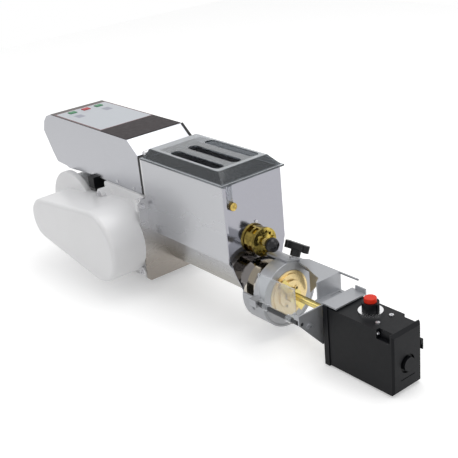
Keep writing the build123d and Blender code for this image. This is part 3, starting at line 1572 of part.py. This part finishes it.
export("box_floor", box_floor())
export("box_gasket", box_gasket())
export("keypad_overlay", overlay(overlay_rear_x, keypad_front_x))
export("display_strip", overlay(keypad_front_x, strip_front_x))
export("start_button", push_button(button_places[0]))
export("stop_button", push_button(button_places[1]))
export("mix_button", push_button(button_places[2]))
export("control_board", control_board())
export("power_inlet", power_inlet())
export("cutter_bracket", cutter_bracket())
export("clamp_knob", clamp_knob())
export("guard_rail", guard_rail())
export("guard", guard())
export("cutter_housing", cutter_housing())
export("cutter_end_cap", cutter_end_cap())
export("knife_bearing", knife_bearing())
export("gearmotor", gearmotor())
export("knife", knife())
export("potentiometer", potentiometer())
export("dial_plate", dial_plate())
export("speed_knob", speed_knob())
export("knob_cap", knob_cap())
export("cutter_screws", *cutter_screws())
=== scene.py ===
import math

import bpy
from mathutils import Matrix, Vector


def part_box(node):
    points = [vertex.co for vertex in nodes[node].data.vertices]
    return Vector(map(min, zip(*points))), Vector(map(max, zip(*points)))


# Looks of a table-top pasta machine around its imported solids. Metres; X towards the cutter, Y to the
# far side, Z up, with the origin on the table under the middle of the front foot bar.

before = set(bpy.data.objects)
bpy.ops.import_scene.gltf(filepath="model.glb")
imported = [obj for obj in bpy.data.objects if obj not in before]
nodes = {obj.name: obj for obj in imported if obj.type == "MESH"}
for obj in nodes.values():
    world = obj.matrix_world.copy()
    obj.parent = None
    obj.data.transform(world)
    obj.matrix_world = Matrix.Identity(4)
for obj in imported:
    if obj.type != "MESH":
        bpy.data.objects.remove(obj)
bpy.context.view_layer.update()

# Camera
eye = Vector((1.3379, -0.8466, 0.7523))
look = Vector((-0.7329, 0.5541, -0.3947))
upward = Vector((-0.2546, 0.3146, 0.9144))
lens_mm = 69.55
sensor_width_mm = 36.0
clip_start = 0.05
clip_end = 50

# Axes of the turned pieces
screw_axis_z = 0.075
paddle_axis_z = 0.152
thumb_axis_y = -0.053
thumb_axis_z = 0.23

# Painted warm shade low on the trough and the bulkhead, fading out between these heights
full_shade_below_z = 0.06
trough_shade_top_z = 0.13
bulkhead_shade_top_z = 0.16

# Lid: the middle of its crown, counted from its edges, and the strap below its rim
crown_rear_from_front = 0.198
crown_front_from_front = 0.034
crown_from_side = 0.021
crown_blend = 0.0015
strap_top_z = 0.2632
strap_blend = 0.001
upright_normal_z = 0.85
level_normal_z = 0.97
rim_clearness = 0.55
crown_clearness = 0.86

# Keypad film: its dark border, the red line inside that, and two grey patches
border_rear = 0.015
border_near = 0.0028
border_far = 0.0018
border_front = 0.0006
line_width = 0.0012
line_front_width = 0.0018
line_rear_reach = 0.0006
line_near_reach = 0.0008
line_blend = 0.0003
patch_rear = 0.056
patch_front = 0.078
patch_side = 0.032
patch_half_width = 0.008
patch_blend = 0.003

# T-knob: its steel stud leans towards the far side and ends this far from the screw's axis
stud_lean = math.radians(22)
stud_end = 0.062
stud_blend = 0.0001

# Studio
white = (1, 1, 1, 1)
world_strength = 0.42
floor_size = 5
floor_color = (0.92, 0.92, 0.92, 1)
floor_roughness = 0.9
floor_glow = 2.95
floor_glow_share = 0.2
contact_shade_reach = 0.17
contact_shade_depth = 0.45

# Most of a noise texture's values lie between these
noise_low = 0.3
noise_high = 0.7


def place_camera():
    """A camera at the photograph's place, turned a little about its line of sight."""
    data = bpy.data.cameras.new("camera")
    data.lens = lens_mm
    data.sensor_width = sensor_width_mm
    data.clip_start = clip_start
    data.clip_end = clip_end
    camera = bpy.data.objects.new("camera", data)
    bpy.context.scene.collection.objects.link(camera)
    back = -look.normalized()
    right = upward.cross(back).normalized()
    up = back.cross(right)
    turn = Matrix((right, up, back)).transposed().to_4x4()
    camera.matrix_world = Matrix.Translation(eye) @ turn
    bpy.context.scene.camera = camera


# Materials
class Graph:
    """Adds nodes to one node tree and links them."""

    def __init__(self, tree):
        self.tree = tree

    def node(self, kind, values=None, **settings):
        """A new node with its settings, and with its sockets' values by name."""
        made = self.tree.nodes.new(kind)
        for key, value in settings.items():
            setattr(made, key, value)
        for socket, value in (values or {}).items():
            made.inputs[socket].default_value = value
        return made

    def link(self, source, target):
        """Links an output to an input."""
        self.tree.links.new(source, target)

    def combine(self, operation, first, second):
        """The result of a math operation on an output and a second output or number."""
        made = self.node("ShaderNodeMath", operation=operation)
        self.link(first, made.inputs[0])
        if isinstance(second, float):
            made.inputs[1].default_value = second
        else:
            self.link(second, made.inputs[1])
        return made.outputs[0]


class Finish(Graph):
    """One material being built: its node tree and its main shader."""

    def __init__(self, name, color, roughness, metallic=0.0, specular=0.5):
        self.material = bpy.data.materials.new(name)
        self.material.use_nodes = True
        super().__init__(self.material.node_tree)
        self.shader = self.tree.nodes["Principled BSDF"]
        self.color = color
        self.roughness = roughness
        self.base = None
        self.place = self.node("ShaderNodeTexCoord").outputs["Object"]
        self.fix("Base Color", (*color, 1))
        self.fix("Roughness", roughness)
        self.fix("Metallic", metallic)
        self.fix("Specular IOR Level", specular)

    def fix(self, socket, value):
        """Sets a value that is the same all over the surface."""
        self.shader.inputs[socket].default_value = value

    def mapped_place(self, **values):
        """The object's coordinates, scaled or moved as the values say."""
        mapping = self.node("ShaderNodeMapping", values)
        self.link(self.place, mapping.inputs["Vector"])
        return mapping.outputs["Vector"]

    def noise(self, scale, detail=3.0, stretch=(1, 1, 1)):
        """A noise value from 0 to 1, with scale in cells per metre."""
        texture = self.node("ShaderNodeTexNoise", {"Scale": scale, "Detail": detail})
        self.link(self.mapped_place(Scale=stretch), texture.inputs["Vector"])
        return texture.outputs["Fac"]

    def remap(self, value, start, end, low, high, interpolation):
        """Maps a value from start..end to low..high and holds it within them."""
        limits = {"From Min": start, "From Max": end, "To Min": low, "To Max": high}
        reach = self.node("ShaderNodeMapRange", limits, interpolation_type=interpolation)
        self.link(value, reach.inputs["Value"])
        return reach.outputs["Result"]

    def spread(self, value, low, high):
        """Spreads a noise value over low..high."""
        return self.remap(value, noise_low, noise_high, low, high, "LINEAR")

    def ramp(self, value, start, end, low=0.0, high=1.0):
        """A smooth step of a value, from low at start to high at end."""
        return self.remap(value, start, end, low, high, "SMOOTHSTEP")

    def axes(self, vector):
        """The X, Y and Z parts of a vector."""
        split = self.node("ShaderNodeSeparateXYZ")
        self.link(vector, split.inputs[0])
        return split.outputs

    def height(self):
        """The height in the shared frame."""
        return self.axes(self.place)[2]

    def between(self, value, start, end, soft):
        """A mask that is 1 where a value lies between start and end."""
        rise = self.ramp(value, start - soft, start + soft)
        fall = self.ramp(value, end - soft, end + soft, 1.0, 0.0)
        return self.combine("MULTIPLY", rise, fall)

    def window(self, x_range, y_range, soft):
        """A mask that is 1 inside a rectangle of the plan and 0 outside it."""
        place = self.axes(self.place)
        along = self.between(place[0], *x_range, soft)
        across = self.between(place[1], *y_range, soft)
        return self.combine("MULTIPLY", along, across)

    def facing_up(self, low, high):
        """A mask from 0 to 1 as the surface's normal rises from low to high."""
        normal = self.node("ShaderNodeTexCoord").outputs["Normal"]
        return self.ramp(self.axes(normal)[2], low, high)

    def set_base(self, color_output):
        """Makes an output the base colour."""
        self.base = color_output
        self.link(color_output, self.shader.inputs["Base Color"])

    def layer(self, color, mask):
        """Lays a flat colour over the base colour where the mask is 1."""
        mix = self.node("ShaderNodeMix", data_type="RGBA")
        mix.inputs["A"].default_value = (*self.color, 1)
        mix.inputs["B"].default_value = (*color, 1)
        if self.base is not None:
            self.link(self.base, mix.inputs["A"])
        self.link(mask, mix.inputs["Factor"])
        self.set_base(mix.outputs["Result"])

    def vary_color(self, value, darker, lighter):
        """Base colour between two multiples of the written colour."""
        mix = self.node("ShaderNodeMix", data_type="RGBA")
        for socket, share in (("A", darker), ("B", lighter)):
            mix.inputs[socket].default_value = (*[min(1, c * share) for c in self.color], 1)
        self.link(self.spread(value, 0, 1), mix.inputs["Factor"])
        self.set_base(mix.outputs["Result"])

    def vary_roughness(self, value, spread):
        """Roughness that strays from the written one by up to spread."""
        smoothest = max(0.02, self.roughness - spread)
        varied = self.spread(value, smoothest, self.roughness + spread)
        self.link(varied, self.shader.inputs["Roughness"])

    def bump(self, value, height):
        """Raises the surface by a value times a height in metres."""
        bump = self.node("ShaderNodeBump", {"Strength": 1.0, "Distance": height})
        self.link(value, bump.inputs["Height"])
        self.link(bump.outputs["Normal"], self.shader.inputs["Normal"])


def painted(name, color, roughness):
    """Sprayed paint with a faint orange peel."""
    finish = Finish(name, color, roughness)
    finish.fix("Coat Weight", 0.3)
    finish.fix("Coat Roughness", 0.15)
    finish.vary_color(finish.noise(scale=14), darker=0.985, lighter=1.01)
    finish.bump(finish.noise(scale=420, detail=1.0), height=0.00004)
    return finish.material


def brushed(name, color, roughness, stretch, spread=0.06, height=0.00001, metallic=1.0):
    """Metal with fine streaks along the axis that is stretched least."""
    finish = Finish(name, color, roughness, metallic)
    streaks = finish.noise(scale=60, detail=4.0, stretch=stretch)
    finish.vary_color(streaks, darker=0.95, lighter=1.03)
    finish.vary_roughness(streaks, spread)
    finish.bump(streaks, height)
    return finish.material


def steel_with_painted_shade(name, color, shade_color, shade_top):
    """Satin steel with a darker, warmer shade painted over its lower part."""
    finish = Finish(name, color, roughness=0.27, metallic=0.85)
    streaks = finish.noise(scale=9, detail=2.0, stretch=(1, 1, 4))
    finish.vary_color(streaks, darker=0.985, lighter=1.01)
    # Painted shade: the lower part is darkened and warmed, fading out upwards.
    finish.layer(shade_color, finish.ramp(finish.height(), full_shade_below_z, shade_top, 1.0, 0.0))
    finish.vary_roughness(streaks, spread=0.02)
    return finish.material


def turned(name, color, roughness, y=0.0, z=screw_axis_z, metallic=1.0, darkest=0.93, mottle=90):
    """Lathe-turned metal: fine rings about a line along X, under a mottled tone."""
    finish = Finish(name, color, roughness, metallic)
    waves = {"Scale": 320, "Distortion": 1.0}
    rings = finish.node("ShaderNodeTexWave", waves, wave_type="RINGS", rings_direction="X")
    finish.link(finish.mapped_place(Location=(0, -y, -z)), rings.inputs["Vector"])
    finish.vary_color(finish.noise(scale=mottle), darkest, lighter=1.04)
    finish.vary_roughness(rings.outputs["Fac"], spread=0.05)
    finish.bump(rings.outputs["Fac"], height=0.00001)
    return finish.material


def moulded(name, color, roughness, grain=0.00003, specular=0.5):
    """Moulded plastic with a fine grain."""
    finish = Finish(name, color, roughness, specular=specular)
    finish.vary_color(finish.noise(scale=30), darker=0.96, lighter=1.05)
    finish.vary_roughness(finish.noise(scale=120), spread=0.04)
    finish.bump(finish.noise(scale=1500, detail=2.0), grain)
    return finish.material


def guard_plastic(name):
    """Clear sheet plastic with a faint veil and handling marks."""
    finish = Finish(name, (0.87, 0.89, 0.91), roughness=0.05)
    finish.fix("Transmission Weight", 0.8)
    finish.fix("IOR", 1.1)
    finish.vary_roughness(finish.noise(scale=25), spread=0.02)
    return finish.material


def lid_plastic(name):
    """Smoke-clear plastic: a painted pale sheen on level faces and round the crown, dark on the
    upright ones.
    """
    low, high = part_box("lid")
    crown_x = (high[0] - crown_rear_from_front, high[0] - crown_front_from_front)
    crown_y = (low[1] + crown_from_side, high[1] - crown_from_side)
    strap = (strap_top_z - strap_blend, strap_top_z)
    finish = Finish(name, (0.24, 0.26, 0.28), roughness=0.06)
    finish.fix("IOR", 1.35)
    finish.vary_color(finish.noise(scale=20), darker=0.97, lighter=1.03)
    # Painted sheen: faces turned up are given a pale colour, as where light falls on them.
    finish.layer((0.72, 0.75, 0.78), finish.facing_up(upright_normal_z, level_normal_z))
    finish.layer((0.8, 0.82, 0.85), finish.ramp(finish.height(), *strap, 1.0, 0.0))
    upright = finish.facing_up(level_normal_z, upright_normal_z)
    clearer = finish.combine("MAXIMUM", finish.window(crown_x, crown_y, crown_blend), upright)
    clearness = finish.ramp(clearer, 0.0, 1.0, rim_clearness, crown_clearness)
    finish.link(clearness, finish.shader.inputs["Transmission Weight"])
    finish.vary_roughness(finish.noise(scale=25), spread=0.02)
    return finish.material


def keypad_film(name):
    """Dark film with a thin red line round a light field, and two grey patches on the field."""
    low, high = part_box("keypad_overlay")
    rear = low[0] + border_rear
    front = high[0] - border_front
    near = low[1] + border_near
    far = high[1] - border_far
    line = ((rear - line_rear_reach, front), (near - line_near_reach, far))
    field = ((rear + line_width, front - line_front_width), (near + line_width, far - line_width))
    finish = Finish(name, (0.075, 0.06, 0.055), roughness=0.4)
    finish.layer((0.16, 0.02, 0.03), finish.window(*line, line_blend))
    finish.layer((0.56, 0.59, 0.63), finish.window(*field, line_blend))
    for side in (-patch_side, patch_side):
        patch = ((low[0] + patch_rear, low[0] + patch_front),
                 (side - patch_half_width, side + patch_half_width))
        finish.layer((0.33, 0.34, 0.41), finish.window(*patch, patch_blend))
    return finish.material


def knob_and_stud(name):
    """Black moulded plastic, with bright steel on the stud below it."""
    finish = Finish(name, (0.0065, 0.007, 0.008), roughness=0.35, specular=0.3)
    finish.vary_color(finish.noise(scale=30), darker=0.95, lighter=1.05)
    along = finish.node("ShaderNodeVectorMath", operation="DOT_PRODUCT")
    finish.link(finish.place, along.inputs[0])
    along.inputs[1].default_value = (0, math.sin(stud_lean), math.cos(stud_lean))
    end = screw_axis_z * math.cos(stud_lean) + stud_end
    stud = finish.ramp(along.outputs["Value"], end - stud_blend, end + stud_blend, 1.0, 0.0)
    finish.layer((0.62, 0.62, 0.64), stud)
    finish.link(stud, finish.shader.inputs["Metallic"])
    finish.bump(finish.noise(scale=900, detail=2.0), height=0.00003)
    return finish.material


def dress(material, *names):
    """Gives CAD nodes a material on their objects' own slots."""
    for name in names:
        for slot in nodes[name].material_slots:
            slot.link = "OBJECT"
            slot.material = material


# Paint
dress(painted("cast_white", (0.9, 0.9, 0.91), 0.4),
      "base_plate", "gearbox_housing", "motor_shield", "motor_housing", "belt_backplate", "motor_cowl")
dress(painted("cover_white", (0.93, 0.93, 0.94), 0.32), "belt_cover")

# Sheet and bar
dress(brushed("inner_steel", (0.5, 0.51, 0.53), 0.3, (3, 3, 40)),
      "feed_screw", "paddle_shaft", "box_floor")
dress(steel_with_painted_shade("trough_steel", (0.48, 0.485, 0.505), (0.4, 0.385, 0.35), trough_shade_top_z),
      "trough")
dress(steel_with_painted_shade("bulkhead_steel", (0.62, 0.62, 0.63), (0.36, 0.33, 0.3), bulkhead_shade_top_z),
      "bulkhead")
dress(brushed("box_steel", (0.44, 0.445, 0.47), 0.25, (1, 10, 20), spread=0.02, height=0.000003),
      "control_box")
dress(brushed("mirror_steel", (0.35, 0.35, 0.385), 0.08, (8, 40, 6), spread=0.03, height=0.000003),
      "front_plate")
# Painted reflection: the polished barrel head's warm tint stands for the brass reflected in it.
dress(brushed("polished", (0.5, 0.47, 0.42), 0.08, (8, 8, 8), spread=0.03, height=0.000003),
      "barrel_head")
dress(brushed("bracket_steel", (0.42, 0.43, 0.45), 0.4, (2, 14, 5), spread=0.05, height=0.000006,
              metallic=0.5),
      "cutter_bracket")
dress(brushed("rail_steel", (0.045, 0.047, 0.05), 0.35, (1, 40, 40), metallic=0.4), "guard_rail")
dress(brushed("core", (0.25, 0.25, 0.27), 0.5, (1, 60, 1)), "motor_stator", "motor_rotor")
dress(brushed("silver", (0.86, 0.86, 0.87), 0.22, (30, 30, 1)),
      "worm_pulley", "motor_pulley", "potentiometer", "dial_plate")

# Turned metal
dress(turned("machined", (0.66, 0.66, 0.68), 0.3),
      "screws_and_pin", "shaft_bearings", "worm_shaft", "screw_gear", "idler_gear", "paddle_gear",
      "release_plunger", "gearmotor", "cutter_screws")
dress(turned("nut_steel", (0.46, 0.47, 0.49), 0.45, metallic=0.5), "ring_nut")
dress(turned("brass", (0.66, 0.5, 0.12), 0.16, z=paddle_axis_z, darkest=0.35, mottle=130),
      "front_bearing")
dress(turned("knob_brass", (0.66, 0.48, 0.14), 0.2, y=thumb_axis_y, z=thumb_axis_z, darkest=0.4,
             mottle=200),
      "thumb_knob")
dress(turned("bronze", (0.84, 0.66, 0.34), 0.3, metallic=0.85), "die", "worm_wheel", "knife_bearing")
dress(turned("knife_brass", (0.78, 0.64, 0.24), 0.32), "knife")

# Rubber and plastic
dress(moulded("rubber", (0.02, 0.02, 0.02), 0.7), "rubber_feet", "seals", "drive_belt", "box_gasket")
dress(moulded("black", (0.005, 0.0055, 0.007), 0.42, specular=0.16),
      "motor_fan", "terminal_box", "power_inlet", "cutter_housing", "cutter_end_cap", "speed_knob")
dress(moulded("gloss_black", (0.006, 0.006, 0.008), 0.2, grain=0.0, specular=0.35), "ball_knob")
dress(moulded("red", (0.78, 0.03, 0.008), 0.35, specular=0.2), "knob_cap")
dress(moulded("dull_red", (0.5, 0.06, 0.07), 0.4, specular=0.2), "stop_button")
dress(moulded("green", (0.07, 0.27, 0.13), 0.4, specular=0.25), "start_button", "mix_button")
dress(moulded("dark_film", (0.026, 0.019, 0.021), 0.5, specular=0.15), "display_strip")
dress(moulded("board", (0.02, 0.15, 0.06), 0.5), "control_board")
dress(knob_and_stud("knob_and_stud"), "clamp_knob")
dress(lid_plastic("lid_clear"), "lid")
dress(guard_plastic("guard_clear"), "guard")
dress(keypad_film("film"), "keypad_overlay")


# Studio
def area_light(name, place, target, size, power):
    """A soft rectangular lamp aimed at a point."""
    data = bpy.data.lights.new(name, "AREA")
    data.shape = "RECTANGLE"
    data.size = size[0]
    data.size_y = size[1]
    data.energy = power
    lamp = bpy.data.objects.new(name, data)
    bpy.context.scene.collection.objects.link(lamp)
    lamp.location = place
    direction = Vector(target) - Vector(place)
    lamp.rotation_euler = direction.to_track_quat("-Z", "Y").to_euler()


def seen_white(graph, shader, strength, share, tint=None):
    """Mixes a white or tinted glow into a shader for camera, mirror and see-through rays only."""
    path = graph.node("ShaderNodeLightPath")
    glow = graph.node("ShaderNodeEmission", {"Color": white, "Strength": strength})
    if tint is not None:
        graph.link(tint, glow.inputs["Color"])
    seen = path.outputs["Is Camera Ray"]
    for ray in ("Is Glossy Ray", "Is Transmission Ray"):
        seen = graph.combine("MAXIMUM", seen, path.outputs[ray])
    mix = graph.node("ShaderNodeMixShader")
    graph.link(graph.combine("MULTIPLY", seen, share), mix.inputs["Fac"])
    graph.link(shader.outputs[0], mix.inputs[1])
    graph.link(glow.outputs[0], mix.inputs[2])
    return mix.outputs[0]


def white_surroundings():
    """Plain light from all sides, before a background that is seen as white."""
    world = bpy.data.worlds.new("studio")
    bpy.context.scene.world = world
    world.use_nodes = True
    graph = Graph(world.node_tree)
    background = graph.tree.nodes["Background"]
    background.inputs["Color"].default_value = white
    background.inputs["Strength"].default_value = world_strength
    seen = seen_white(graph, background, strength=1.0, share=1.0)
    graph.link(seen, graph.tree.nodes["World Output"].inputs["Surface"])


def white_floor():
    """A white floor that keeps the machine's shadow, with a soft shade close to the machine."""
    bpy.ops.mesh.primitive_plane_add(size=floor_size)
    floor = bpy.context.object
    floor.name = "floor"
    material = bpy.data.materials.new("floor")
    material.use_nodes = True
    graph = Graph(material.node_tree)
    shader = graph.tree.nodes["Principled BSDF"]
    shader.inputs["Base Color"].default_value = floor_color
    shader.inputs["Roughness"].default_value = floor_roughness
    closeness = graph.node("ShaderNodeAmbientOcclusion", {"Distance": contact_shade_reach})
    shade = graph.node("ShaderNodeMix", data_type="RGBA")
    shade.inputs["Factor"].default_value = contact_shade_depth
    shade.inputs["A"].default_value = white
    graph.link(closeness.outputs["Color"], shade.inputs["B"])
    seen = seen_white(graph, shader, floor_glow, floor_glow_share, shade.outputs["Result"])
    graph.link(seen, graph.tree.nodes["Material Output"].inputs["Surface"])
    floor.data.materials.append(material)


bpy.context.scene.view_settings.view_transform = "Standard"
place_camera()
white_surroundings()
white_floor()
area_light("key", place=(-0.9, -1.9, 1.9), target=(0, 0, 0.15), size=(1.6, 1.2), power=7)
area_light("top", place=(0.3, 0.5, 2.2), target=(0, 0, 0.1), size=(2.0, 1.4), power=19)
area_light("side", place=(2.0, 0.6, 1.2), target=(0.1, 0, 0.15), size=(1.2, 1.0), power=5)
